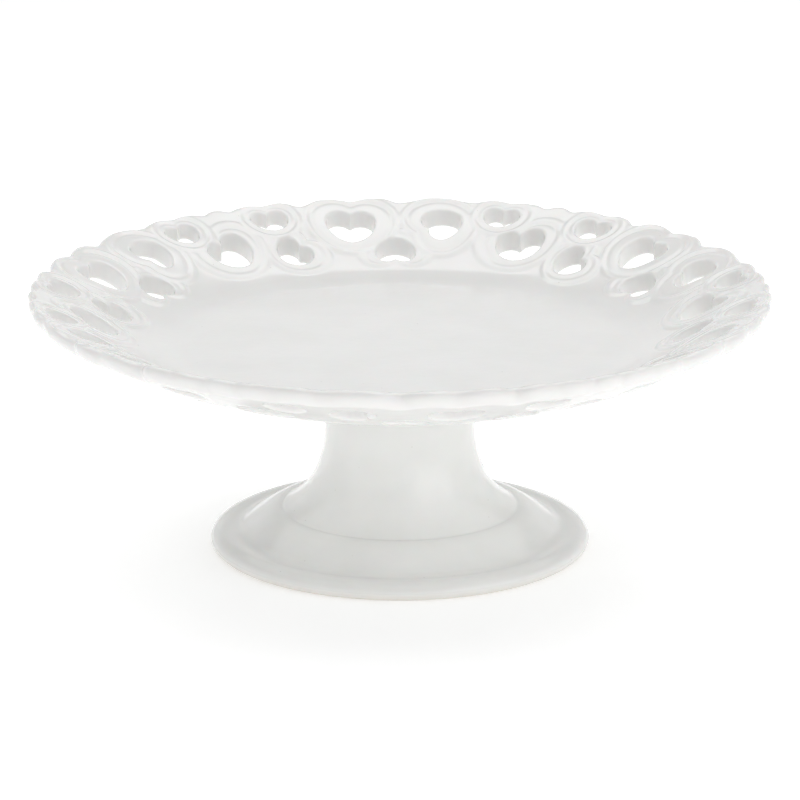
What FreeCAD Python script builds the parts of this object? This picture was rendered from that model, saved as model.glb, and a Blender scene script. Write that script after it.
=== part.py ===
import FreeCAD, Part
import math
import os

import Sketcher

# A footed cake stand of white glazed porcelain: a shallow round plate with a wide pierced rim,
# a hollow flared pedestal, and the thin ring of bonding cement that joins the two.
# Millimetres. +Z is up, the origin is on the table under the centre of the foot.

SHEET = "dims"
SECTORS = 6
FULL_TURN = 360.0

# Driving dimensions: alias, value, meaning.
DIMENSIONS = [
    ("rim_radius", 150.0, "centre to the crest of the scalloped edge"),
    ("rim_height", 108.0, "table to the top of the rim"),
    ("rim_round", 3.4, "radius of the rounded rim edge"),
    ("rim_wrap", 50.0, "degrees that the rounded edge turns under the outermost point"),
    ("floor_radius", 88.0, "flat floor of the well"),
    ("floor_height", 85.0, "table to the floor of the well"),
    ("cove_radius", 50.0, "hollow curve from the floor up to the sloping rim"),
    ("under_height", 76.5, "table to the flat underside"),
    ("under_radius", 88.0, "flat part of the underside"),
    ("under_bow", 230.0, "radius of the bowed underside of the rim"),
    ("spigot_gap", 0.6, "clearance of the locating ring inside the stem"),
    ("spigot_wall", 2.2, "thickness of the locating ring"),
    ("spigot_depth", 3.0, "how far the locating ring reaches down"),
    ("valley_deep", 4.2, "depth of the deepest scallop valleys"),
    ("valley_middle", 2.3, "depth of the middle scallop valleys"),
    ("valley_slight", 1.2, "depth of the slight scallop valleys"),
    ("trim_radius", 158.0, "outer limit of the scallop cutter"),
    ("foot_radius", 77.2, "outermost edge of the foot"),
    ("foot_round", 3.6, "radius of the foot's half-round edge"),
    ("contact_inner", 71.7, "inner radius of the ring that stands on the table"),
    ("dip_radius", 66.5, "radius of the dip behind the foot's edge"),
    ("dip_height", 7.4, "height of the dip"),
    ("ring_bow", 34.0, "radius of the rounded ring between the dip and the crease"),
    ("crease_radius", 48.2, "radius of the crease where the flare ends"),
    ("crease_height", 16.6, "height of the crease"),
    ("flare_low_bow", 30.0, "radius of the lower, tighter curve of the flare"),
    ("flare_mid_radius", 35.2, "radius where the two curves of the flare meet"),
    ("flare_mid_height", 29.0, "height where the two curves of the flare meet"),
    ("flare_high_bow", 36.0, "radius of the upper, longer curve of the flare"),
    ("stem_radius", 30.4, "outside of the stem"),
    ("stem_start", 47.0, "height where the stem becomes straight"),
    ("stem_bore", 24.4, "inside of the stem"),
    ("hollow_high_bow", 42.0, "radius of the upper curve of the hollow"),
    ("hollow_mid_radius", 29.6, "radius where the two curves of the hollow meet"),
    ("hollow_mid_height", 26.0, "height where the two curves of the hollow meet"),
    ("hollow_low_bow", 18.6, "radius of the lower curve of the hollow"),
    ("hollow_knee_radius", 40.0, "where the hollow turns outwards"),
    ("hollow_knee_height", 14.0, "height of that turn"),
    ("hollow_foot_radius", 62.0, "where the hollow levels out inside the foot"),
    ("hollow_foot_height", 2.6, "height of the hollow there"),
    ("hollow_lip_radius", 70.4, "inner top of the contact ring"),
    ("hollow_lip_height", 1.4, "height of the contact ring's inner side"),
    ("bond_thickness", 0.4, "thickness of the cement between stem and plate"),
    ("bond_inner", 25.2, "inner radius of the cement ring"),
    ("bond_outer", 29.4, "outer radius of the cement ring"),
]

# The seven pierced hearts of one sixth of the rim. A bearing is counted anticlockwise from +X,
# a turn anticlockwise from a heart whose point is towards the centre of the plate.
# name: bearing, reach from the axis, turn, lobe radius, half the distance between lobe centres,
# height of the lobe centres over the heart's middle, depth of the point under it.
HEART_FIELDS = ("bearing", "reach", "turn", "lobe", "spread", "rise", "point")
HEARTS = {
    "broad": (99.2, 132.6, -6.0, 5.7, 4.7, 1.2, 12.0),
    "upturned": (82.3, 131.6, 125.0, 5.5, 3.5, 1.4, 9.8),
    "outer_left": (71.7, 138.2, 0.0, 4.2, 3.6, 1.0, 7.2),
    "leaning": (65.5, 123.4, 24.0, 5.4, 5.0, 2.0, 10.0),
    "outer_right": (53.8, 138.0, 0.0, 4.4, 3.8, 1.2, 7.4),
    "inner_right": (52.3, 118.0, -50.0, 4.2, 3.6, 1.6, 8.0),
    "inverted": (91.0, 115.2, 180.0, 4.5, 4.0, 0.8, 7.6),
}

# Valleys of the scalloped edge over one sixth of the rim: bearing and depth.
VALLEYS = (
    (77.4, "valley_middle"),
    (70.8, "valley_slight"),
    (64.8, "valley_middle"),
    (59.8, "valley_middle"),
    (53.7, "valley_slight"),
    (47.3, "valley_deep"),
    (38.3, "valley_middle"),
    (30.1, "valley_deep"),
)
# The cutters of neighbouring sixths overlap by this many degrees outside the edge.
CUTTER_OVERLAP = 1.0


def make_sheet(doc):
    sheet = doc.addObject("Spreadsheet::Sheet", SHEET)
    rows = list(DIMENSIONS)
    for heart, values in HEARTS.items():
        for field, value in zip(HEART_FIELDS, values):
            rows.append((f"{heart}_{field}", value, f"{heart} heart: {field}"))
    for row, (alias, value, meaning) in enumerate(rows, start=1):
        sheet.set(f"A{row}", alias)
        sheet.set(f"B{row}", str(value))
        sheet.set(f"C{row}", meaning)
        sheet.setAlias(f"B{row}", alias)
    doc.recompute()
    return sheet


def number(owner, expression):
    """The value that an expression in the sheet's names has now."""
    result = owner.evalExpression(expression)
    return float(getattr(result, "Value", result))


def origin_feature(body, role):
    return next(feature for feature in body.Origin.OriginFeatures if feature.Role == role)


def new_sketch(body, name, role):
    sketch = body.newObject("Sketcher::SketchObject", name)
    sketch.AttachmentSupport = (origin_feature(body, role), [""])
    sketch.MapMode = "FlatFace"
    return sketch


def bind(sketch, constraint, expression):
    """Add a sized constraint whose value follows the sheet."""
    index = sketch.addConstraint(constraint)
    sketch.setExpression(f"Constraints[{index}]", expression)


def arc_between(start, end, radius, turns_left):
    """The shorter arc from start to end, with its centre left or right of the way along it."""
    chord = end.sub(start)
    half = chord.Length / 2
    rise = math.sqrt(radius * radius - half * half)
    left = FreeCAD.Vector(-chord.y, chord.x, 0).normalize()
    centre = start.add(chord.multiply(0.5)).add(left.multiply(rise if turns_left else -rise))
    first, last = (start, end) if turns_left else (end, start)
    from_angle = math.atan2(first.y - centre.y, first.x - centre.x)
    to_angle = math.atan2(last.y - centre.y, last.x - centre.x)
    circle = Part.Circle(centre, FreeCAD.Vector(0, 0, 1), radius)
    return Part.ArcOfCircle(circle, from_angle, to_angle)


def place_corner(sketch, edge, vertex, x, y):
    """Hold a corner at x, y. "0" puts it on the axis, and "free" leaves that direction open."""
    for expression, kind, axis in ((x, "DistanceX", -2), (y, "DistanceY", -1)):
        if expression == "0":
            sketch.addConstraint(Sketcher.Constraint("PointOnObject", edge, vertex, axis))
        elif expression != "free":
            value = number(sketch, expression)
            bind(sketch, Sketcher.Constraint(kind, edge, vertex, value), expression)


def closed_outline(sketch, corners):
    """Draw a closed outline through corners given as (x, y, bow).

    x and y are expressions. bow tells how the outline comes to this corner: None for a straight
    line, or (radius, side) for an arc whose centre is on the "left" or "right" of the way.
    """
    points = [FreeCAD.Vector(number(sketch, x), number(sketch, y), 0) for x, y, bow in corners]
    ends = []
    for index, (x, y, bow) in enumerate(corners):
        start = points[index - 1]
        end = points[index]
        if bow is None:
            edge = sketch.addGeometry(Part.LineSegment(start, end), False)
            ends.append((edge, 1, 2))
            continue
        radius, side = bow
        arc = arc_between(start, end, number(sketch, radius), side == "left")
        edge = sketch.addGeometry(arc, False)
        ends.append((edge, 1, 2) if side == "left" else (edge, 2, 1))
    for index, (edge, start_vertex, end_vertex) in enumerate(ends):
        next_edge, next_start, next_end = ends[(index + 1) % len(ends)]
        sketch.addConstraint(Sketcher.Constraint("Coincident", edge, end_vertex, next_edge, next_start))
    for (x, y, bow), (edge, start_vertex, end_vertex) in zip(corners, ends):
        place_corner(sketch, edge, end_vertex, x, y)
        if bow is not None:
            bind(sketch, Sketcher.Constraint("Radius", edge, number(sketch, bow[0])), bow[0])


def revolve(body, name, corners):
    """A full turn of an outline about the vertical axis."""
    sketch = new_sketch(body, name + "_profile", "XZ_Plane")
    closed_outline(sketch, corners)
    turn = body.newObject("PartDesign::Revolution", name)
    turn.Profile = sketch
    turn.ReferenceAxis = (sketch, ["V_Axis"])
    turn.Angle = FULL_TURN
    sketch.Visibility = False
    return turn


def cut_through(body, name, sketch):
    """Cut a sketch drawn on the table plane through everything over it."""
    pocket = body.newObject("PartDesign::Pocket", name)
    pocket.Profile = sketch
    pocket.Type = "ThroughAll"
    pocket.Reversed = True
    return pocket


def heart_sketch(body, name):
    """Two round lobes and two straight sides that meet in a point."""
    sketch = new_sketch(body, f"{name}_heart", "XY_Plane")
    field = {key: f"{SHEET}.{name}_{key}" for key in HEART_FIELDS}
    size = {key: number(sketch, expression) for key, expression in field.items()}
    lobe = size["lobe"]
    centre = FreeCAD.Vector(size["spread"], size["rise"], 0)
    tip = FreeCAD.Vector(0, -size["point"], 0)
    to_tip = tip.sub(centre)
    # Angle of the radius to the point where the straight side touches the lobe.
    touch = math.atan2(to_tip.y, to_tip.x) + math.acos(lobe / to_tip.Length)
    notch = math.acos(-centre.x / lobe) if centre.x < lobe else math.pi
    up = FreeCAD.Vector(0, 0, 1)
    right_touch = centre.add(FreeCAD.Vector(math.cos(touch), math.sin(touch), 0).multiply(lobe))
    left_touch = FreeCAD.Vector(-right_touch.x, right_touch.y, 0)
    left_centre = FreeCAD.Vector(-centre.x, centre.y, 0)
    right_lobe = sketch.addGeometry(Part.ArcOfCircle(Part.Circle(centre, up, lobe), touch, notch), False)
    left_lobe = sketch.addGeometry(
        Part.ArcOfCircle(Part.Circle(left_centre, up, lobe), math.pi - notch, math.pi - touch), False
    )
    left_side = sketch.addGeometry(Part.LineSegment(left_touch, tip), False)
    right_side = sketch.addGeometry(Part.LineSegment(tip, right_touch), False)
    for constraint in (
        Sketcher.Constraint("Coincident", right_lobe, 2, left_lobe, 1),
        Sketcher.Constraint("Tangent", left_lobe, 2, left_side, 1),
        Sketcher.Constraint("Coincident", left_side, 2, right_side, 1),
        Sketcher.Constraint("Tangent", right_side, 2, right_lobe, 1),
        Sketcher.Constraint("PointOnObject", left_side, 2, -2),
        Sketcher.Constraint("Equal", right_lobe, left_lobe),
        Sketcher.Constraint("Symmetric", right_lobe, 3, left_lobe, 3, -2),
    ):
        sketch.addConstraint(constraint)
    bind(sketch, Sketcher.Constraint("Radius", right_lobe, lobe), field["lobe"])
    bind(sketch, Sketcher.Constraint("DistanceX", -1, 1, right_lobe, 3, centre.x), field["spread"])
    bind(sketch, Sketcher.Constraint("DistanceY", -1, 1, right_lobe, 3, centre.y), field["rise"])
    bind(sketch, Sketcher.Constraint("DistanceY", left_side, 2, -1, 1, -tip.y), field["point"])
    sketch.setExpression("AttachmentOffset.Base.x", f"{field['reach']} * cos({field['bearing']} * 1 deg)")
    sketch.setExpression("AttachmentOffset.Base.y", f"{field['reach']} * sin({field['bearing']} * 1 deg)")
    sketch.setExpression(
        "AttachmentOffset.Rotation.Angle", f"({field['bearing']} - 90 + {field['turn']}) * 1 deg"
    )
    return sketch


def scallop_sketch(body):
    """What lies outside the lobes of the edge, over one sixth of the rim."""
    sketch = new_sketch(body, "scallop_outline", "XY_Plane")
    last_bearing = VALLEYS[0][0] - FULL_TURN / SECTORS
    valleys = VALLEYS + ((last_bearing, VALLEYS[0][1]),)
    edge_radius = number(sketch, f"{SHEET}.rim_radius")

    def polar(radius, bearing):
        angle = math.radians(bearing)
        return FreeCAD.Vector(radius * math.cos(angle), radius * math.sin(angle), 0)

    def pin(edge, vertex, radius, bearing):
        x = f"({radius}) * cos({bearing} deg)"
        y = f"({radius}) * sin({bearing} deg)"
        place_corner(sketch, edge, vertex, x, y)

    up = FreeCAD.Vector(0, 0, 1)
    rim_circle = sketch.addGeometry(Part.Circle(FreeCAD.Vector(), up, edge_radius), True)
    sketch.addConstraint(Sketcher.Constraint("Coincident", rim_circle, 3, -1, 1))
    bind(sketch, Sketcher.Constraint("Radius", rim_circle, edge_radius), f"{SHEET}.rim_radius")
    # Each lobe is an arc from one valley to the next that just reaches the rim circle.
    reaches = [f"{SHEET}.rim_radius - {SHEET}.{depth}" for bearing, depth in valleys]
    lobes = []
    for index in range(len(VALLEYS)):
        bearing, next_bearing = valleys[index][0], valleys[index + 1][0]
        low = polar(number(sketch, reaches[index + 1]), next_bearing)
        high = polar(number(sketch, reaches[index]), bearing)
        crest = polar(edge_radius, (bearing + next_bearing) / 2)
        lobes.append(sketch.addGeometry(Part.Arc(low, crest, high), False))
    for index, lobe in enumerate(lobes):
        pin(lobe, 2, reaches[index], valleys[index][0])
        sketch.addConstraint(Sketcher.Constraint("Tangent", lobe, rim_circle))
        if index:
            sketch.addConstraint(Sketcher.Constraint("Coincident", lobe, 2, lobes[index - 1], 1))
    pin(lobes[-1], 1, reaches[-1], last_bearing)
    # The cutter closes well outside the edge.
    limit = f"{SHEET}.trim_radius"
    limit_radius = number(sketch, limit)
    far_high = VALLEYS[0][0] + CUTTER_OVERLAP
    far_low = last_bearing - CUTTER_OVERLAP
    outside = Part.ArcOfCircle(
        Part.Circle(FreeCAD.Vector(), up, limit_radius), math.radians(far_low), math.radians(far_high)
    )
    far_arc = sketch.addGeometry(outside, False)
    first_valley = polar(number(sketch, reaches[0]), VALLEYS[0][0])
    last_valley = polar(number(sketch, reaches[-1]), last_bearing)
    high_side = sketch.addGeometry(Part.LineSegment(polar(limit_radius, far_high), first_valley), False)
    low_side = sketch.addGeometry(Part.LineSegment(last_valley, polar(limit_radius, far_low)), False)
    for constraint in (
        Sketcher.Constraint("Coincident", far_arc, 3, -1, 1),
        Sketcher.Constraint("Coincident", far_arc, 2, high_side, 1),
        Sketcher.Constraint("Coincident", high_side, 2, lobes[0], 2),
        Sketcher.Constraint("Coincident", low_side, 1, lobes[-1], 1),
        Sketcher.Constraint("Coincident", low_side, 2, far_arc, 1),
    ):
        sketch.addConstraint(constraint)
    bind(sketch, Sketcher.Constraint("Radius", far_arc, limit_radius), limit)
    place_corner(sketch, far_arc, 2, f"{limit} * cos({far_high} deg)", "free")
    place_corner(sketch, far_arc, 1, f"{limit} * cos({far_low} deg)", "free")
    return sketch


def make_plate(doc):
    """Pierced plate: well, cove, sloping rim with a rounded edge, and a locating ring underneath."""
    body = doc.addObject("PartDesign::Body", "plate")
    body.Label = "plate"
    d = SHEET
    ring_outer = f"{d}.stem_bore - {d}.spigot_gap"
    ring_inner = f"{ring_outer} - {d}.spigot_wall"
    ring_bottom = f"{d}.under_height - {d}.spigot_depth"
    edge_x = f"{d}.rim_radius - {d}.rim_round"
    edge_z = f"{d}.rim_height - {d}.rim_round"
    # The sloping rim touches the cove below it and the rounded edge above it.
    run = f"({edge_x} - {d}.floor_radius)"
    climb = f"({edge_z} - {d}.floor_height - {d}.cove_radius)"
    slope = f"(asin(({d}.cove_radius + {d}.rim_round) / hypot({run}; {climb})) + atan({climb} / {run}))"
    cove_end_x = f"{d}.floor_radius + {d}.cove_radius * sin({slope})"
    cove_end_z = f"{d}.floor_height + {d}.cove_radius * (1 - cos({slope}))"
    edge_start_x = f"{edge_x} - {d}.rim_round * sin({slope})"
    edge_start_z = f"{edge_z} + {d}.rim_round * cos({slope})"
    edge_end_x = f"{edge_x} + {d}.rim_round * cos({d}.rim_wrap * 1 deg)"
    edge_end_z = f"{edge_z} - {d}.rim_round * sin({d}.rim_wrap * 1 deg)"
    corners = [
        ("0", f"{d}.under_height", None),
        ("0", f"{d}.floor_height", None),
        (f"{d}.floor_radius", f"{d}.floor_height", None),
        (cove_end_x, cove_end_z, (f"{d}.cove_radius", "left")),
        (edge_start_x, edge_start_z, None),
        (f"{d}.rim_radius", edge_z, (f"{d}.rim_round", "right")),
        (edge_end_x, edge_end_z, (f"{d}.rim_round", "right")),
        (f"{d}.under_radius", f"{d}.under_height", (f"{d}.under_bow", "right")),
        (ring_outer, f"{d}.under_height", None),
        (ring_outer, ring_bottom, None),
        (ring_inner, ring_bottom, None),
        (ring_inner, f"{d}.under_height", None),
    ]
    revolve(body, "plate_turn", corners)
    cuts = [cut_through(body, "scallop_cut", scallop_sketch(body))]
    for heart in HEARTS:
        cuts.append(cut_through(body, f"{heart}_cut", heart_sketch(body, heart)))
    ring = body.newObject("PartDesign::PolarPattern", "pattern_round_rim")
    ring.Originals = cuts
    ring.Axis = (origin_feature(body, "Z_Axis"), [""])
    ring.Angle = FULL_TURN
    ring.Occurrences = SECTORS
    body.Tip = ring
    return body


def make_pedestal(doc):
    """Hollow foot: half-round edge, dip, rounded ring, crease, flare and straight stem."""
    body = doc.addObject("PartDesign::Body", "pedestal")
    body.Label = "pedestal"
    d = SHEET
    edge_x = f"{d}.foot_radius - {d}.foot_round"
    stem_top = f"{d}.under_height - {d}.bond_thickness"
    corners = [
        (f"{d}.contact_inner", "0", None),
        (edge_x, "0", None),
        (f"{d}.foot_radius", f"{d}.foot_round", (f"{d}.foot_round", "left")),
        (edge_x, f"{d}.foot_round * 2", (f"{d}.foot_round", "left")),
        (f"{d}.dip_radius", f"{d}.dip_height", None),
        (f"{d}.crease_radius", f"{d}.crease_height", (f"{d}.ring_bow", "left")),
        (f"{d}.flare_mid_radius", f"{d}.flare_mid_height", (f"{d}.flare_low_bow", "right")),
        (f"{d}.stem_radius", f"{d}.stem_start", (f"{d}.flare_high_bow", "right")),
        (f"{d}.stem_radius", stem_top, None),
        (f"{d}.stem_bore", stem_top, None),
        (f"{d}.stem_bore", f"{d}.stem_start", None),
        (f"{d}.hollow_mid_radius", f"{d}.hollow_mid_height", (f"{d}.hollow_high_bow", "left")),
        (f"{d}.hollow_knee_radius", f"{d}.hollow_knee_height", (f"{d}.hollow_low_bow", "left")),
        (f"{d}.hollow_foot_radius", f"{d}.hollow_foot_height", None),
        (f"{d}.hollow_lip_radius", f"{d}.hollow_lip_height", None),
    ]
    revolve(body, "pedestal_turn", corners)
    return body


def make_bond_ring(doc):
    """Thin flat ring of cement between the stem and the underside of the plate."""
    body = doc.addObject("PartDesign::Body", "bond_ring")
    body.Label = "bond_ring"
    d = SHEET
    bottom = f"{d}.under_height - {d}.bond_thickness"
    corners = [
        (f"{d}.bond_inner", bottom, None),
        (f"{d}.bond_outer", bottom, None),
        (f"{d}.bond_outer", f"{d}.under_height", None),
        (f"{d}.bond_inner", f"{d}.under_height", None),
    ]
    revolve(body, "bond_ring_turn", corners)
    return body


def check(doc, parts):
    for item in doc.Objects:
        for state in ("Invalid", "Error"):
            if state in item.State:
                raise RuntimeError(f"{item.Label} is {item.State}")
    for part in parts:
        shape = part.Shape
        if shape.isNull() or not shape.isValid() or len(shape.Solids) != 1:
            raise RuntimeError(f"{part.Label} is not one valid solid")
        low, high = shape.BoundBox.ZMin, shape.BoundBox.ZMax
        print(f"{part.Label}: {shape.Volume / 1000:.1f} cm3, from z {low:.2f} to {high:.2f} mm")


def main():
    doc = FreeCAD.newDocument("cake_stand")
    make_sheet(doc)
    parts = [make_plate(doc), make_pedestal(doc), make_bond_ring(doc)]
    for part in parts:
        part.Placement = FreeCAD.Placement()
    doc.recompute()
    check(doc, parts)
    os.makedirs("parts", exist_ok=True)
    for part in parts:
        part.Shape.exportStep(f"parts/{part.Label}.step")


main()
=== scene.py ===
import math

import bpy
import numpy as np
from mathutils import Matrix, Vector


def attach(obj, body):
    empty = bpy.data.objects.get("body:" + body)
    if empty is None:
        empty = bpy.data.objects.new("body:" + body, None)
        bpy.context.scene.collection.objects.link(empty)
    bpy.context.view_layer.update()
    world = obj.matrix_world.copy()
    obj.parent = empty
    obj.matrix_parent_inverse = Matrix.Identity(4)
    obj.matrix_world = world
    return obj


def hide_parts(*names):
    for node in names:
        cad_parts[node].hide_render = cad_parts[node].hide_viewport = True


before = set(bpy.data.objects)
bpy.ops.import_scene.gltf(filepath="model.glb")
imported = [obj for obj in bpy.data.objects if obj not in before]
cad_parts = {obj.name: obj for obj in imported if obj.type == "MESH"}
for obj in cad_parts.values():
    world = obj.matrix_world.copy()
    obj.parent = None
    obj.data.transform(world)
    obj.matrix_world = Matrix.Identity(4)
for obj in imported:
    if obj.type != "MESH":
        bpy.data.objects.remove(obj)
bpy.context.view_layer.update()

# Sizes are millimetres until a mesh is made, in metres. The rim of the plate is worked out in polar
# coordinates about the stand's axis: a bearing, anticlockwise from +X, and a reach from the axis.
MM = 0.001
SECTORS = 6
SECTOR = 2 * math.pi / SECTORS

# ---------------------------------------------------------------- sizes of the plate
RIM_RADIUS = 150.0
RIM_HEIGHT = 108.0
RIM_ROUND = 3.4
FLOOR_RADIUS = 88.0
FLOOR_HEIGHT = 85.0
COVE_RADIUS = 50.0
UNDER_HEIGHT = 76.5
UNDER_RADIUS = 88.0
UNDER_BOW = 230.0
UNDER_WRAP = math.radians(50.0)
SPIGOT_OUTER = 23.8
SPIGOT_INNER = 21.6
SPIGOT_BOTTOM = 73.5
# The locating ring's edges are broken by these two lengths.
SPIGOT_BEVEL = 0.5
SPIGOT_FILLET = 0.6

# Relief of the pierced rim, over a base surface sunk below the tops of the rings.
INNER_SINK = 0.7
INNER_SINK_SPAN = (98.0, 118.0)
EDGE_SINK = 1.9
EDGE_SINK_SPAN = (126.0, 149.0)
RING_RISE = 1.8
BAND_RISE = 1.5
BAND_ROUND = 2.4
# The ground between the hearts climbs to the bands' height over these reaches.
GROUND_SPAN = (124.0, 136.0)
LAYER_BLEND = 0.35
GLAZE_PASSES = 2
GROOVE_FLOOR = 0.15
INNER_FADE = 0.5
FADE_SPAN = (110.0, 130.0)
HOLE_SOFTNESS = 1.0
EDGE_SOFTNESS = 2.9
EDGE_TRIM = 0.25
INSETS = {"hole": 1.4, "groove": 2.4, "pad": 3.2}

# The seven hearts of one sector, in the order in which they lie over each other. Each is three
# heart-shaped outlines round one middle: the hole, the groove round the band that borders it, and
# the pad's edge outside the ring. An outline is lobe radius, half the distance between the lobe
# centres, their height over the middle, the depth of the point under it, and the sides' radius.
# A turn is anticlockwise from a heart whose point is towards the axis. A shift moves the pad from
# the hole, to the right and outwards, and the groove by half as much.
HEARTS = [
    dict(bearing=52.3, reach=118.0, turn=-50.0, hole=(4.2, 3.6, 1.6, 7.6, 8.6),
         groove=(6.2, 5.2, 2.0, 10.6, 12.0), pad=(9.0, 6.2, 2.4, 13.6, 15.2), shift=(1.0, 0.0)),
    dict(bearing=91.0, reach=115.2, turn=180.0, hole=(4.5, 4.0, 0.8, 7.2, 8.8),
         groove=(6.3, 5.8, 1.0, 9.8, 13.0), pad=(8.6, 8.0, 0.8, 13.4, 17.5), shift=(0.0, 0.0)),
    dict(bearing=82.3, reach=131.6, turn=125.0, hole=(5.5, 3.5, 1.4, 9.2, 10.4),
         groove=(10.2, 5.6, 2.0, 14.0, 15.8), pad=(13.6, 5.8, 2.0, 17.2, 19.2), shift=(-0.4, 0.0)),
    dict(bearing=65.5, reach=123.4, turn=24.0, hole=(5.4, 5.0, 2.0, 9.4, 11.0),
         groove=(7.8, 7.6, 2.4, 12.6, 15.5), pad=(11.5, 9.0, 3.4, 16.2, 20.5), shift=(0.0, 0.0)),
    dict(bearing=71.7, reach=138.2, turn=0.0, hole=(4.2, 3.6, 1.0, 6.6, 8.2),
         groove=(6.4, 4.6, 2.0, 9.8, 11.2), pad=(9.2, 4.8, 2.4, 13.2, 13.6), shift=(0.4, 0.0)),
    dict(bearing=53.8, reach=138.0, turn=0.0, hole=(4.4, 3.8, 1.2, 6.8, 8.6),
         groove=(6.4, 4.6, 2.0, 9.8, 11.2), pad=(9.2, 4.8, 2.4, 13.0, 13.6), shift=(0.4, 0.0)),
    dict(bearing=99.2, reach=132.6, turn=-6.0, hole=(5.7, 4.7, 1.2, 11.6, 11.8),
         groove=(10.8, 6.8, 2.4, 16.2, 17.4), pad=(13.4, 7.8, 3.2, 18.6, 20.8), shift=(0.5, 0.0)),
]

# Valleys of the scalloped edge over one sector: bearing and depth.
VALLEYS = [
    (77.4, 2.3), (70.8, 1.2), (64.8, 2.3), (59.8, 2.3),
    (53.7, 1.2), (47.3, 4.2), (38.3, 2.3), (30.1, 4.2),
]

# Points along one lobe of the edge, and along the flank and the lobe of a heart.
LOBE_POINTS = 14
HEART_FLANK_POINTS = 12
HEART_LOBE_POINTS = 16
LOBE_FULLNESS = 2.1
VALLEY_PASSES = 2

# The grid on which the pierced rim is worked out: cells per sector, and steps outwards and upwards.
CELLS = 272
WHOLE = SECTORS * CELLS
GRID_INNER = 102.4
GRID_OUTER = 151.4
GRID_STEP = 0.5
GRID_HALF_DEPTH = 6.0
# A distance larger than any that matters, and how far from its middle a heart can reach.
FAR = 99.0
HEART_LIMIT = 40.0
# Smallest width of a ring that the relief is worked out across.
RING_LEAST = 0.5
# Share of the grid's triangles that the plate keeps.
PLATE_KEEP = 0.34


# ---------------------------------------------------------------- profiles of the plate
def rim_slope():
    """Angle of the sloping rim, which touches the cove and the rounded edge."""
    run = RIM_RADIUS - RIM_ROUND - FLOOR_RADIUS
    climb = RIM_HEIGHT - RIM_ROUND - FLOOR_HEIGHT - COVE_RADIUS
    return math.asin((COVE_RADIUS + RIM_ROUND) / math.hypot(run, climb)) + math.atan(climb / run)


SLOPE = rim_slope()
COVE_END = FLOOR_RADIUS + COVE_RADIUS * math.sin(SLOPE)


def top_height(reach):
    """Height of the smooth top: floor, cove and sloping rim."""
    reach = np.asarray(reach, float)
    in_cove = np.clip(reach - FLOOR_RADIUS, 0.0, COVE_END - FLOOR_RADIUS)
    cove = COVE_RADIUS - np.sqrt(COVE_RADIUS**2 - in_cove**2)
    return FLOOR_HEIGHT + cove + np.maximum(reach - COVE_END, 0.0) * math.tan(SLOPE)


def top_slope(reach):
    """Angle of the smooth top at a reach."""
    in_cove = np.clip(np.asarray(reach, float) - FLOOR_RADIUS, 0.0, COVE_END - FLOOR_RADIUS)
    return np.arcsin(in_cove / COVE_RADIUS)


def base_height(reach):
    """The top between the hearts: level with the smooth top in the well, sunk below it in the rim."""
    reach = np.asarray(reach, float)
    inner = INNER_SINK * smooth_step(reach, *INNER_SINK_SPAN)
    outer = EDGE_SINK * smooth_step(reach, *EDGE_SINK_SPAN)
    return top_height(reach) - (inner + outer)


def under_bow_centre():
    """Centre of the bowed underside, through the end of the rounded edge and the rim of the flat."""
    edge = RIM_RADIUS - RIM_ROUND
    end = np.array([edge + RIM_ROUND * math.cos(UNDER_WRAP),
                    RIM_HEIGHT - RIM_ROUND * (1 + math.sin(UNDER_WRAP))])
    start = np.array([UNDER_RADIUS, UNDER_HEIGHT])
    way = end - start
    half = math.hypot(*way) / 2
    left = np.array([-way[1], way[0]]) / (2 * half)
    return start + way / 2 + left * math.sqrt(UNDER_BOW**2 - half**2)


BOW_CENTRE = under_bow_centre()


def under_height(reach):
    """Height of the underside: flat in the middle, bowed under the rim."""
    reach = np.asarray(reach, float)
    bow = BOW_CENTRE[1] - np.sqrt(UNDER_BOW**2 - (reach - BOW_CENTRE[0])**2)
    return np.where(reach > UNDER_RADIUS, bow, UNDER_HEIGHT)


# ---------------------------------------------------------------- distances and soft joins
def smooth_step(value, low, high):
    """From 0 at low to 1 at high, level at both ends."""
    t = np.clip((value - low) / (high - low), 0.0, 1.0)
    return t * t * (3 - 2 * t)


def round_join(a, b, radius):
    """The inside of both a and b (negative inside), with the edge between them rounded."""
    corner = np.hypot(np.maximum(a + radius, 0.0), np.maximum(b + radius, 0.0))
    return np.minimum(np.maximum(a, b), -radius) + corner


def outline_distance(x, y, outline):
    """Distance to a closed outline of points, negative inside."""
    nearest = np.full(x.shape, np.inf)
    inside = np.zeros(x.shape, bool)
    for (ax, ay), (bx, by) in zip(outline, np.roll(outline, -1, axis=0)):
        run, climb = bx - ax, by - ay
        length2 = max(run * run + climb * climb, 1e-12)
        along = np.clip(((x - ax) * run + (y - ay) * climb) / length2, 0.0, 1.0)
        away = (x - ax - along * run)**2 + (y - ay - along * climb)**2
        nearest = np.minimum(nearest, away)
        if abs(climb) > 1e-9:
            inside ^= ((ay > y) != (by > y)) & (x < ax + (y - ay) * run / climb)
    return np.sqrt(nearest) * np.where(inside, -1.0, 1.0)


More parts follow.
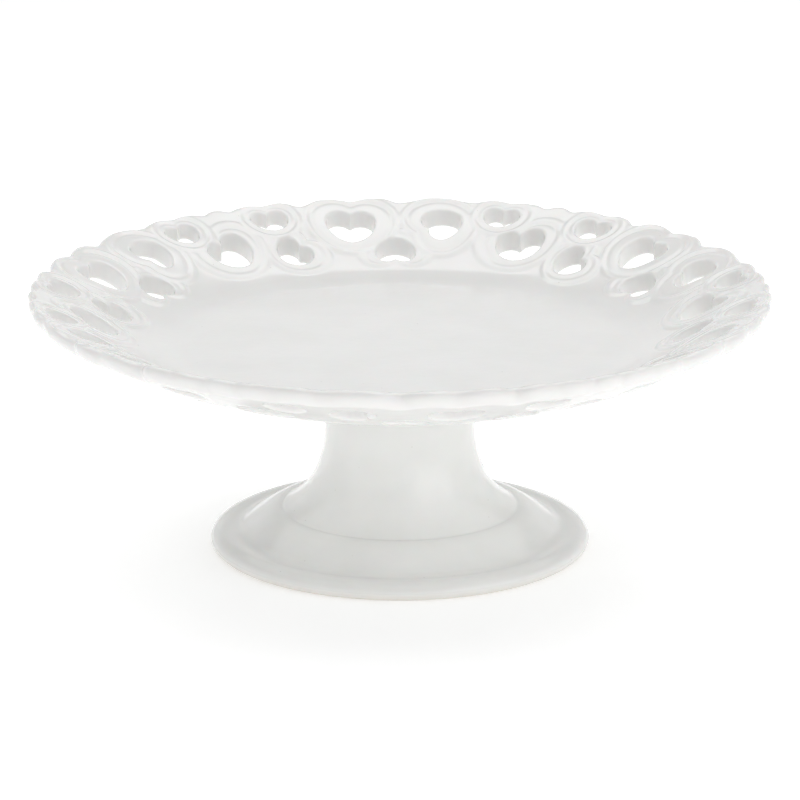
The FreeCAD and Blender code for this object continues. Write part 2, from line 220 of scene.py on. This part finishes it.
def heart_outline(lobe, spread, rise, point, side, inset):
    """A heart with its point at -y, drawn inside its full size by an inset: two round lobes, and two
    full sides that are arcs too."""
    # A side touches its lobe from outside and ends in the point: its centre lies side - lobe from
    # the lobe's centre and side from the point.
    way = np.array([-spread, -point - rise])
    apart = math.hypot(*way)
    along = ((side - lobe)**2 - side**2 + apart**2) / (2 * apart)
    off = math.sqrt((side - lobe)**2 - along**2)
    unit = way / apart
    centre = np.array([spread, rise]) + unit * along + np.array([unit[1], -unit[0]]) * off
    touch = math.atan2(rise - centre[1], spread - centre[0])
    tip = math.atan2(-math.sqrt((side - inset)**2 - centre[0]**2), -centre[0])
    notch = math.acos(max(-spread / (lobe - inset), -1.0))
    flank_angles = np.linspace(tip, touch, HEART_FLANK_POINTS)[:, None]
    lobe_angles = np.linspace(touch, notch, HEART_LOBE_POINTS)[1:, None]
    flank = centre + (side - inset) * np.hstack([np.cos(flank_angles), np.sin(flank_angles)])
    top = (spread, rise) + (lobe - inset) * np.hstack([np.cos(lobe_angles), np.sin(lobe_angles)])
    right = np.concatenate([flank, top])
    return np.concatenate([right, right[::-1][:-1] * (-1.0, 1.0)])


def scallop_outline():
    """The whole edge of the plate: each lobe just reaches the rim radius, and valleys are soft."""
    bearings, falls = [], []
    for sector in range(SECTORS):
        for index, (bearing, depth) in enumerate(VALLEYS):
            next_bearing, next_depth = VALLEYS[(index + 1) % len(VALLEYS)]
            if index + 1 == len(VALLEYS):
                next_bearing -= 360 / SECTORS
            t = np.linspace(0.0, 1.0, LOBE_POINTS, endpoint=False)
            bearings.append(np.radians(bearing + (next_bearing - bearing) * t - 360 / SECTORS * sector))
            # A round lobe: full in the middle, falling away to the valleys at both ends.
            falls.append((depth + (next_depth - depth) * t) * np.abs(2 * t - 1)**LOBE_FULLNESS)
    bearings, falls = np.concatenate(bearings), np.concatenate(falls)
    for _ in range(VALLEY_PASSES):
        falls = (np.roll(falls, 1) + 2 * falls + np.roll(falls, -1)) / 4
    reach = RIM_RADIUS - falls
    return np.stack([reach * np.cos(bearings), reach * np.sin(bearings)], axis=1)


# ---------------------------------------------------------------- the pierced rim on a polar grid
def heart_fields(bearing, reach):
    """For each heart, at points of one sector: distances to its hole, its groove and its pad's edge."""
    for heart in HEARTS:
        turn = math.radians(heart["turn"])
        fields = []
        for kind, share in (("hole", 0.0), ("groove", 0.5), ("pad", 1.0)):
            outline = heart_outline(*heart[kind], INSETS[kind])
            field = np.full(bearing.shape, FAR)
            for copy in (-2, -1, 0, 1):
                away = bearing - math.radians(heart["bearing"]) - copy * SECTOR
                right = -reach * np.sin(away) - share * heart["shift"][0]
                out = reach * np.cos(away) - heart["reach"] - share * heart["shift"][1]
                near = np.hypot(right, out) < HEART_LIMIT
                x = right[near] * math.cos(turn) + out[near] * math.sin(turn)
                y = out[near] * math.cos(turn) - right[near] * math.sin(turn)
                field[near] = np.minimum(field[near], outline_distance(x, y, outline) - INSETS[kind])
            fields.append(field)
        yield fields


def rim_fields():
    """Over one sector: the relief's height, the distance to the nearest hole and to the edge."""
    bearings = np.arange(CELLS) * SECTOR / CELLS
    reaches = np.arange(GRID_INNER, GRID_OUTER, GRID_STEP)
    bearing, reach = np.meshgrid(bearings, reaches, indexing="ij")
    edge = outline_distance(reach * np.cos(bearing), reach * np.sin(bearing), scallop_outline())
    relief = BAND_RISE * smooth_step(reach, *GROUND_SPAN)
    holes = np.full(bearing.shape, FAR)
    for hole, groove, pad in heart_fields(bearing, reach):
        depth = -pad
        across = np.clip(depth / np.maximum(depth + groove, RING_LEAST), 0.0, 1.0)
        ring = GROOVE_FLOOR + (RING_RISE - GROOVE_FLOOR) * np.sqrt(1 - (2 * across - 1)**2)
        inward = np.clip(-groove / BAND_ROUND, 0.0, 1.0)
        band = GROOVE_FLOOR + (BAND_RISE - GROOVE_FLOOR) * np.sqrt(1 - (1 - inward)**2)
        level = np.where(groove > 0, ring, band)
        cover = smooth_step(depth, -LAYER_BLEND, LAYER_BLEND)
        relief = relief * (1 - cover) + level * cover
        holes = np.minimum(holes, hole)
    # The relief is lower towards the well, where the pads run out.
    relief *= INNER_FADE + (1 - INNER_FADE) * smooth_step(reach, *FADE_SPAN)
    # The glaze softens every step of the relief.
    for _ in range(GLAZE_PASSES):
        relief = (np.roll(relief, 1, axis=0) + 2 * relief + np.roll(relief, -1, axis=0)) / 4
        padded = np.pad(relief, ((0, 0), (1, 1)), mode="edge")
        relief = (padded[:, :-2] + 2 * relief + padded[:, 2:]) / 4
    return bearings, reaches, relief, holes, edge + EDGE_TRIM


def rim_solid(bearings, reaches, relief, holes, edge):
    """The solid's field on the grid (bearing, reach, level), negative inside, and each level's height."""
    slope = top_slope(reaches)
    middle = (top_height(reaches) + under_height(reaches)) / 2
    levels = np.arange(-GRID_HALF_DEPTH, GRID_HALF_DEPTH + GRID_STEP, GRID_STEP)
    top = base_height(reaches) + relief
    bottom = under_height(reaches)
    under_slope = np.gradient(bottom, reaches)
    field = np.empty((len(bearings), len(reaches), len(levels)))
    for index, level in enumerate(levels):
        height = middle + level
        over = (height - top) * np.cos(slope)
        under = np.broadcast_to((bottom - height) / np.hypot(1.0, under_slope), over.shape)
        solid = np.maximum(round_join(over, edge, EDGE_SOFTNESS), round_join(under, edge, EDGE_SOFTNESS))
        field[:, :, index] = round_join(solid, -holes, HOLE_SOFTNESS)
    # A light blur in the three directions keeps the surface in one sheet at the finest steps.
    field = (np.roll(field, 1, axis=0) + 4 * field + np.roll(field, -1, axis=0)) / 6
    for axis in (1, 2):
        margins = [(1, 1) if n == axis else (0, 0) for n in range(3)]
        wide = np.pad(field, margins, mode="reflect", reflect_type="odd")
        field = (np.take(wide, range(field.shape[axis]), axis) + 4 * field
                 + np.take(wide, range(2, field.shape[axis] + 2), axis)) / 6
    return middle, levels, field


def surface_net(bearings, reaches, middle, levels, field):
    """Quads over the whole ring where the field changes sign: one vertex in each cell it crosses."""
    step = SECTOR / CELLS
    wrapped = np.concatenate([field, field[:1]], axis=0)
    sign = wrapped < 0
    shape = (CELLS, len(reaches) - 1, len(levels) - 1)
    total = np.zeros(shape + (3,))
    count = np.zeros(shape)
    axes = (0, 1, 2)
    for axis in axes:
        others = [other for other in axes if other != axis]
        for first in (0, 1):
            for second in (0, 1):
                start = [slice(0, n) for n in shape]
                start[others[0]] = slice(first, first + shape[others[0]])
                start[others[1]] = slice(second, second + shape[others[1]])
                end = list(start)
                end[axis] = slice(1, 1 + shape[axis])
                a, b = wrapped[tuple(start)], wrapped[tuple(end)]
                crossed = (a < 0) != (b < 0)
                share = np.where(crossed, a / np.where(crossed, a - b, 1.0), 0.0)
                offset = np.zeros(shape + (3,))
                offset[..., axis] = share
                offset[..., others[0]] = first
                offset[..., others[1]] = second
                total += offset * crossed[..., None]
                count += crossed
    active = count > 0
    cell = np.argwhere(active)
    place = cell + total[active] / count[active][:, None]
    angle = place[:, 0] * step
    reach = reaches[0] + place[:, 1] * GRID_STEP
    height = np.interp(reach, reaches, middle) + levels[0] + place[:, 2] * GRID_STEP
    number = np.full(shape, -1)
    number[active] = np.arange(len(cell))
    quads = []
    for axis in axes:
        others = [other for other in axes if other != axis]
        start = [slice(0, n) for n in shape]
        end = list(start)
        end[axis] = slice(1, 1 + shape[axis])
        a, b = sign[tuple(start)], sign[tuple(end)]
        flips = np.argwhere(a != b)
        keep = np.ones(len(flips), bool)
        for other in others:
            if other != 0:
                keep &= flips[:, other] > 0
        flips = flips[keep]
        starts_inside = a[tuple(flips.T)]
        corners = []
        for first, second in ((0, 0), (-1, 0), (-1, -1), (0, -1)):
            where = flips.copy()
            where[:, others[0]] += first
            where[:, others[1]] += second
            sector = np.where(where[:, 0] < 0, -1, 0)
            where[:, 0] %= CELLS
            corners.append(np.stack([number[tuple(where.T)], sector], axis=1))
        quad = np.stack(corners, axis=1)
        turned = starts_inside if axis != 1 else ~starts_inside
        quad[turned] = quad[turned][:, ::-1]
        quads.append(quad)
    quads = np.concatenate(quads)
    vertices, faces = [], []
    for sector in range(SECTORS):
        turn = angle + sector * SECTOR
        vertices.append(np.stack([reach * np.cos(turn), reach * np.sin(turn), height], axis=1))
        faces.append(quads[..., 0] + ((quads[..., 1] + sector) % SECTORS) * len(cell))
    return np.concatenate(vertices), np.concatenate(faces), number


# ---------------------------------------------------------------- meshes
def make_piece(name, vertices, faces, slot, node, keep=1.0):
    """A smooth piece on the fixed body, from vertices in millimetres, in place of its CAD node."""
    mesh = bpy.data.meshes.new(name)
    mesh.from_pydata((np.asarray(vertices) * MM).tolist(), [], faces)
    mesh.validate()
    piece = bpy.data.objects.new(name, mesh)
    bpy.context.scene.collection.objects.link(piece)
    if keep < 1.0:
        fewer = piece.modifiers.new("fewer", "DECIMATE")
        fewer.ratio = keep
        graph = bpy.context.evaluated_depsgraph_get()
        piece.data = bpy.data.meshes.new_from_object(piece.evaluated_get(graph))
        piece.data.name = name
        piece.modifiers.clear()
    piece.data.shade_smooth()
    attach(piece, "root")
    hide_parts(node)
    return piece


def ring_points(count, reach, height):
    """A level ring of points about the axis."""
    angles = np.arange(count) * 2 * math.pi / count
    return np.stack([reach * np.cos(angles), reach * np.sin(angles), np.full(count, height)], axis=1)


def cap_ring(loop, rings, vertices, faces, facing_up):
    """Joins a loop of vertices to smaller and smaller rings, each with as many vertices as the one
    before or half as many, and closes the last one on the axis. Rings are (count, reach, height)."""
    start = sum(len(part) for part in vertices)
    for count, reach, height in rings:
        vertices.append(ring_points(count, reach, height))
        inner = list(range(start, start + count))
        start += count
        share = len(loop) // count
        for i in range(count):
            j = (i + 1) % count
            if share == 1:
                made = [(loop[i], loop[j], inner[j], inner[i])]
            else:
                a, b, c = loop[2 * i], loop[2 * i + 1], loop[(2 * i + 2) % len(loop)]
                made = [(a, b, inner[i]), (b, inner[j], inner[i]), (b, c, inner[j])]
            faces.extend(made if facing_up else [face[::-1] for face in made])
        loop = inner
    vertices.append(np.array([[0.0, 0.0, rings[-1][2]]]))
    for i in range(len(loop)):
        face = (loop[i], loop[(i + 1) % len(loop)], start)
        faces.append(face if facing_up else face[::-1])


def well_rings():
    """Rings of the smooth top from the pierced rim inwards: count, reach and height."""
    rings = [(WHOLE // 2, reach, top_height(reach)) for reach in (101.4, 100.0, 98.5, 97.0)]
    rings += [(WHOLE // 4, reach, top_height(reach))
              for reach in (95.5, 94.0, 92.5, 91.0, 89.5, 88.0, 86.5)]
    rings += [(WHOLE // 8, 70.0, FLOOR_HEIGHT)]
    rings += [(WHOLE // 16, reach, FLOOR_HEIGHT) for reach in (40.0, 10.0)]
    return rings


def under_rings():
    """Rings of the underside from the pierced rim inwards, with the locating ring."""
    rings = [(WHOLE // 2, reach, under_height(reach)) for reach in (101.4, 99.5, 97.0)]
    rings += [(WHOLE // 4, reach, under_height(reach)) for reach in (95.0, 93.0, 91.0, 89.0, 88.2)]
    rings += [(WHOLE // 4, reach, UNDER_HEIGHT) for reach in (87.4, 86.0, 70.0)]
    rings += [(WHOLE // 8, reach, height) for reach, height in (
        (40.0, UNDER_HEIGHT),
        (SPIGOT_OUTER + SPIGOT_FILLET, UNDER_HEIGHT),
        (SPIGOT_OUTER, UNDER_HEIGHT - SPIGOT_BEVEL),
        (SPIGOT_OUTER, SPIGOT_BOTTOM + SPIGOT_FILLET),
        (SPIGOT_OUTER - SPIGOT_BEVEL, SPIGOT_BOTTOM),
        (SPIGOT_INNER + SPIGOT_BEVEL, SPIGOT_BOTTOM),
        (SPIGOT_INNER, SPIGOT_BOTTOM + SPIGOT_FILLET),
        (SPIGOT_INNER, UNDER_HEIGHT - SPIGOT_BEVEL),
        (SPIGOT_INNER - SPIGOT_FILLET, UNDER_HEIGHT),
    )]
    rings += [(WHOLE // 16, 8.0, UNDER_HEIGHT)]
    return rings


def plate_mesh():
    """The whole plate: the pierced rim, with the well joined on above and the underside below."""
    net, quads, number = surface_net(*rim_solid_grid())
    per_sector = len(net) // SECTORS
    inner = number[:, 0, :]
    lower = np.array([row[row >= 0].min() for row in inner])
    upper = np.array([row[row >= 0].max() for row in inner])
    loops = [[int(k) + sector * per_sector for sector in range(SECTORS) for k in side]
             for side in (upper, lower)]
    vertices, faces = [net], quads.tolist()
    cap_ring(loops[0], well_rings(), vertices, faces, True)
    cap_ring(loops[1], under_rings(), vertices, faces, False)
    return np.concatenate(vertices), faces


def rim_solid_grid():
    """What surface_net needs: the grid's bearings and reaches, and the solid's field on it."""
    bearings, reaches, relief, holes, edge = rim_fields()
    return (bearings, reaches) + rim_solid(bearings, reaches, relief, holes, edge)


# ---------------------------------------------------------------- pedestal
def smooth_line(points, step):
    """A smooth curve through profile points (Catmull-Rom), at about even steps.

    It stays within the range of its points, so that it never dips under the table.
    """
    points = np.array(points, float)
    padded = np.concatenate([[2 * points[0] - points[1]], points, [2 * points[-1] - points[-2]]])
    line = []
    for a, b, c, d in zip(padded, padded[1:], padded[2:], padded[3:]):
        for t in np.linspace(0.0, 1.0, max(2, int(math.hypot(*(c - b)) / step)), endpoint=False):
            line.append(tuple(((2 * b) + (c - a) * t + (2 * a - 5 * b + 4 * c - d) * t**2
                               + (3 * b - a - 3 * c + d) * t**3) / 2))
    line = np.clip(line + [tuple(points[-1])], points.min(axis=0), points.max(axis=0))
    return [tuple(point) for point in line]


def lathe(profile, segments):
    """A closed surface from a closed profile that stays off the axis."""
    profile = np.array(profile)
    angles = np.arange(segments) * 2 * math.pi / segments
    reach, height = profile[:, 0], profile[:, 1]
    vertices = np.stack([np.outer(np.cos(angles), reach), np.outer(np.sin(angles), reach),
                         np.broadcast_to(height, (segments, len(profile)))], axis=2).reshape(-1, 3)
    faces = []
    for i in range(segments):
        for j in range(len(profile)):
            a, b = i * len(profile), ((i + 1) % segments) * len(profile)
            k = (j + 1) % len(profile)
            faces.append((a + j, b + j, b + k, a + k))
    return vertices, faces


# Profile of the pedestal as (reach, height): outside from the table up to the joint, then the
# hollow from the joint down.
FOOT = [
    # Contact ring and half-round edge.
    (71.7, 0.0), (73.6, 0.0), (75.0, 0.3), (76.2, 1.1), (76.95, 2.2), (77.15, 3.6), (76.6, 5.1),
    (75.3, 6.4), (73.2, 7.3),
    # Dip and rounded ring.
    (71.0, 7.5), (68.6, 7.4), (66.4, 7.5), (64.4, 8.2), (61.6, 10.2), (58.0, 12.7), (54.4, 14.9),
    (51.6, 16.1), (50.0, 16.5), (48.8, 16.6),
    # Crease and flare.
    (48.0, 16.62), (47.2, 16.95), (46.4, 17.5), (44.0, 19.1), (41.0, 21.7), (38.2, 24.8),
    (35.8, 28.3), (33.8, 32.6), (32.2, 37.6), (31.1, 42.6), (30.5, 48.0),
    # Stem.
    (30.4, 56.0), (30.4, 66.0), (30.4, 75.6),
]
HOLLOW = [
    (30.0, 76.1), (25.0, 76.1), (24.4, 75.5), (24.4, 66.0), (24.4, 56.0), (24.4, 48.0),
    (24.9, 42.0), (26.2, 35.0), (28.1, 29.0), (30.6, 24.2), (34.6, 19.0), (40.0, 14.0),
    (47.0, 9.6), (55.0, 5.6), (62.0, 2.7), (67.0, 1.7), (70.2, 1.3), (71.3, 0.8),
]
FOOT_STEP = 0.6
HOLLOW_STEP = 1.2
PEDESTAL_SEGMENTS = 288

# ---------------------------------------------------------------- making the pieces
plate = make_piece("plate_glazed", *plate_mesh(), "plate_glaze", "plate", keep=PLATE_KEEP)
pedestal_profile = smooth_line(FOOT, FOOT_STEP) + smooth_line(HOLLOW, HOLLOW_STEP)
pedestal = make_piece("pedestal_glazed", *lathe(pedestal_profile, PEDESTAL_SEGMENTS), "pedestal_glaze",
                      "pedestal")


# ---------------------------------------------------------------- materials
def new_material(name, base, roughness, **sockets):
    """A Principled material: its nodes and links too, and extra sockets set by name."""
    material = bpy.data.materials.new(name)
    material.use_nodes = True
    shader = material.node_tree.nodes["Principled BSDF"]
    shader.inputs["Base Color"].default_value = (*base, 1.0)
    shader.inputs["Roughness"].default_value = roughness
    for socket, value in sockets.items():
        shader.inputs[socket.replace("_", " ")].default_value = value
    return material, material.node_tree.nodes, material.node_tree.links, shader


def add_noise(nodes, links, scale, detail, rough=0.5):
    """Noise in the object's own coordinates."""
    where = nodes.new("ShaderNodeTexCoord")
    noise = nodes.new("ShaderNodeTexNoise")
    noise.inputs["Scale"].default_value = scale
    noise.inputs["Detail"].default_value = detail
    noise.inputs["Roughness"].default_value = rough
    links.new(where.outputs["Object"], noise.inputs["Vector"])
    return noise


def add_ramp(nodes, links, source, stops):
    """A colour ramp with stops of (place, colour)."""
    ramp = nodes.new("ShaderNodeValToRGB")
    while len(ramp.color_ramp.elements) < len(stops):
        ramp.color_ramp.elements.new(0.5)
    for element, (place, colour) in zip(ramp.color_ramp.elements, stops):
        element.position = place
        element.color = (*colour, 1.0)
    links.new(source, ramp.inputs["Fac"])
    return ramp


def add_bump(nodes, links, height, distance, strength, under=None):
    """A bump of a height in metres, laid over another bump if one is given."""
    bump = nodes.new("ShaderNodeBump")
    bump.inputs["Strength"].default_value = strength
    bump.inputs["Distance"].default_value = distance
    links.new(height, bump.inputs["Height"])
    if under is not None:
        links.new(under.outputs["Normal"], bump.inputs["Normal"])
    return bump


def glaze(name, low, high, specks, waves):
    """Glossy white glaze: faint cloudy tone, faint waves, pinholes, and a dry unglazed foot ring."""
    material, nodes, links, shader = new_material(name, high, 0.16, IOR=1.5, Coat_Weight=0.25,
                                                  Coat_Roughness=0.06, Subsurface_Weight=0.08,
                                                  Subsurface_Scale=0.004)
    clouds = add_noise(nodes, links, 38.0, 3.0)
    tone = add_ramp(nodes, links, clouds.outputs["Fac"], [(0.35, low), (0.65, high)])
    # Iron specks and pinholes in the fired glaze, a fraction of a millimetre across.
    dots = nodes.new("ShaderNodeTexVoronoi")
    dots.inputs["Scale"].default_value = 420.0
    where = nodes.new("ShaderNodeTexCoord")
    links.new(where.outputs["Object"], dots.inputs["Vector"])
    near = add_ramp(nodes, links, dots.outputs["Distance"], [(0.05, (1, 1, 1)), (0.16, (0, 0, 0))])
    pick = nodes.new("ShaderNodeMath")
    pick.operation = "LESS_THAN"
    pick.inputs[1].default_value = specks
    split = nodes.new("ShaderNodeSeparateColor")
    links.new(dots.outputs["Color"], split.inputs["Color"])
    links.new(split.outputs["Red"], pick.inputs[0])
    chosen = nodes.new("ShaderNodeMath")
    chosen.operation = "MULTIPLY"
    links.new(near.outputs["Color"], chosen.inputs[0])
    links.new(pick.outputs["Value"], chosen.inputs[1])
    spotted = nodes.new("ShaderNodeMix")
    spotted.data_type = "RGBA"
    links.new(chosen.outputs["Value"], spotted.inputs["Factor"])
    links.new(tone.outputs["Color"], spotted.inputs["A"])
    spotted.inputs["B"].default_value = (low[0] * 0.82, low[1] * 0.81, low[2] * 0.78, 1.0)
    # Gloss: the glaze thins and dulls a little in clouds.
    gloss = add_ramp(nodes, links, add_noise(nodes, links, 60.0, 4.0).outputs["Fac"],
                     [(0.3, (0.13, 0.13, 0.13)), (0.7, (0.2, 0.2, 0.2))])
    # The foot ring that stands on the kiln shelf is wiped clean of glaze.
    place = nodes.new("ShaderNodeSeparateXYZ")
    links.new(where.outputs["Object"], place.inputs["Vector"])
    dry = add_ramp(nodes, links, place.outputs["Z"], [(0.00035, (1, 1, 1)), (0.0008, (0, 0, 0))])
    body = nodes.new("ShaderNodeMix")
    body.data_type = "RGBA"
    links.new(dry.outputs["Color"], body.inputs["Factor"])
    links.new(spotted.outputs["Result"], body.inputs["A"])
    body.inputs["B"].default_value = (0.74, 0.71, 0.66, 1.0)
    links.new(body.outputs["Result"], shader.inputs["Base Color"])
    matt = nodes.new("ShaderNodeMix")
    links.new(dry.outputs["Color"], matt.inputs["Factor"])
    links.new(gloss.outputs["Color"], matt.inputs["A"])
    matt.inputs["B"].default_value = 0.85
    links.new(matt.outputs["Result"], shader.inputs["Roughness"])
    wave = add_bump(nodes, links, add_noise(nodes, links, 30.0, 2.0).outputs["Fac"], 0.0012, waves)
    skin = add_bump(nodes, links, add_noise(nodes, links, 260.0, 3.0).outputs["Fac"], 0.00008, 0.5, wave)
    pits = add_bump(nodes, links, chosen.outputs["Value"], 0.0001, 0.4, skin)
    links.new(pits.outputs["Normal"], shader.inputs["Normal"])
    return material


plate_glaze = glaze("plate_white_glaze", low=(0.868, 0.87, 0.855), high=(0.897, 0.898, 0.886),
                    specks=0.02, waves=0.12)
plate.data.materials.append(plate_glaze)
pedestal_glaze = glaze("pedestal_white_glaze", low=(0.84, 0.845, 0.825), high=(0.874, 0.878, 0.86),
                       specks=0.05, waves=0.16)
pedestal.data.materials.append(pedestal_glaze)


def cement():
    """The thin cement line between the two pieces: matt, off-white and finely grained."""
    material, nodes, links, shader = new_material("bond_cement", (0.78, 0.77, 0.74), 0.8)
    grain = add_noise(nodes, links, 900.0, 4.0, 0.6)
    tone = add_ramp(nodes, links, grain.outputs["Fac"],
                    [(0.3, (0.7, 0.69, 0.66)), (0.7, (0.8, 0.79, 0.76))])
    links.new(tone.outputs["Color"], shader.inputs["Base Color"])
    bump = add_bump(nodes, links, grain.outputs["Fac"], 0.0001, 0.6)
    links.new(bump.outputs["Normal"], shader.inputs["Normal"])
    return material


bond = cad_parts["bond_ring"]
bond.data.materials.clear()
bond.data.materials.append(cement())


# ---------------------------------------------------------------- floor, lights and camera
def soft_light(name, place, target, width, height, power):
    """A rectangular soft box that faces a point."""
    light = bpy.data.lights.new(name, "AREA")
    light.shape = "RECTANGLE"
    light.size = width
    light.size_y = height
    light.energy = power
    lamp = bpy.data.objects.new(name, light)
    lamp.location = place
    lamp.rotation_euler = (Vector(target) - Vector(place)).to_track_quat("-Z", "Y").to_euler()
    bpy.context.scene.collection.objects.link(lamp)


def map_range(nodes, source, result):
    """A node that turns the span source into the span result."""
    node = nodes.new("ShaderNodeMapRange")
    node.inputs["From Min"].default_value = source[0]
    node.inputs["From Max"].default_value = source[1]
    node.inputs["To Min"].default_value = result[0]
    node.inputs["To Max"].default_value = result[1]
    return node


def pale_material(name, colour):
    """A matt material that varies a little in tone."""
    material, nodes, links, shader = new_material(name, colour, 0.9)
    tone = add_ramp(nodes, links, add_noise(nodes, links, 3.0, 2.0).outputs["Fac"],
                    [(0.3, tuple(c * 0.985 for c in colour)), (0.7, colour)])
    links.new(tone.outputs["Color"], shader.inputs["Base Color"])
    return material


FLOOR_HALF = 6.0
FLOOR_COLOUR = (0.93, 0.93, 0.93)
# The floor's glow at two distances from the stand's axis, in metres.
GLOW_SPAN = (0.1, 0.9)
GLOW = (0.31, 0.29)
floor_mesh = bpy.data.meshes.new("floor")
floor_mesh.from_pydata([(-FLOOR_HALF, -FLOOR_HALF, 0), (FLOOR_HALF, -FLOOR_HALF, 0),
                        (FLOOR_HALF, FLOOR_HALF, 0), (-FLOOR_HALF, FLOOR_HALF, 0)], [], [(0, 1, 2, 3)])
floor = bpy.data.objects.new("floor", floor_mesh)
bpy.context.scene.collection.objects.link(floor)
floor.data.materials.append(pale_material("pale_floor", FLOOR_COLOUR))
# The floor glows as a lit white sweep does.
floor_nodes = floor.data.materials[0].node_tree.nodes
floor_links = floor.data.materials[0].node_tree.links
glow = floor_nodes["Principled BSDF"]
glow.inputs["Emission Color"].default_value = (1.0, 1.0, 1.0, 1.0)
spot = floor_nodes.new("ShaderNodeTexCoord")
span = floor_nodes.new("ShaderNodeVectorMath")
span.operation = "LENGTH"
floor_links.new(spot.outputs["Object"], span.inputs[0])
fade = map_range(floor_nodes, GLOW_SPAN, GLOW)
floor_links.new(span.outputs["Value"], fade.inputs["Value"])
floor_links.new(fade.outputs["Result"], glow.inputs["Emission Strength"])

# Each lamp: name, place, the point that it faces, width, height and power.
middle = (0.0, 0.0, 0.05)
soft_light("key_right", (0.97, -0.87, 0.5), middle, 1.4, 0.95, 3.3)
soft_light("fill_left", (-0.97, -0.87, 0.5), middle, 1.4, 0.95, 1.0)
soft_light("top_panel", (0.0, 0.4, 1.75), middle, 2.6, 2.0, 27.0)

world = bpy.data.worlds.new("studio")
bpy.context.scene.world = world
world.use_nodes = True
# White walls round the table, and a dim ceiling: the light by how far upwards the way points.
WALL_SPAN = (0.25, 0.6)
WALL_LIGHT = (0.85, 0.16)
sky = world.node_tree.nodes["Background"]
sky.inputs["Color"].default_value = (1.0, 1.0, 1.0, 1.0)
way = world.node_tree.nodes.new("ShaderNodeTexCoord")
sides = world.node_tree.nodes.new("ShaderNodeSeparateXYZ")
walls = map_range(world.node_tree.nodes, WALL_SPAN, WALL_LIGHT)
world.node_tree.links.new(way.outputs["Generated"], sides.inputs["Vector"])
world.node_tree.links.new(sides.outputs["Z"], walls.inputs["Value"])
world.node_tree.links.new(walls.outputs["Result"], sky.inputs["Strength"])

# The camera looks down at the stand by this angle, in radians, from this place, in metres.
CAMERA_DOWN = 0.288
CAMERA_PLACE = (0.0, -1.930, 0.6324)
CAMERA_LENS = 223.2
camera_data = bpy.data.cameras.new("camera")
camera_data.lens = CAMERA_LENS
camera_data.sensor_width = 36.0
camera_data.clip_start = 0.05
camera_data.clip_end = 30.0
camera = bpy.data.objects.new("camera", camera_data)
camera.location = CAMERA_PLACE
camera.rotation_euler = (math.pi / 2 - CAMERA_DOWN, 0.0, 0.0)
bpy.context.scene.collection.objects.link(camera)
bpy.context.scene.camera = camera
bpy.context.scene.view_settings.view_transform = "Standard"
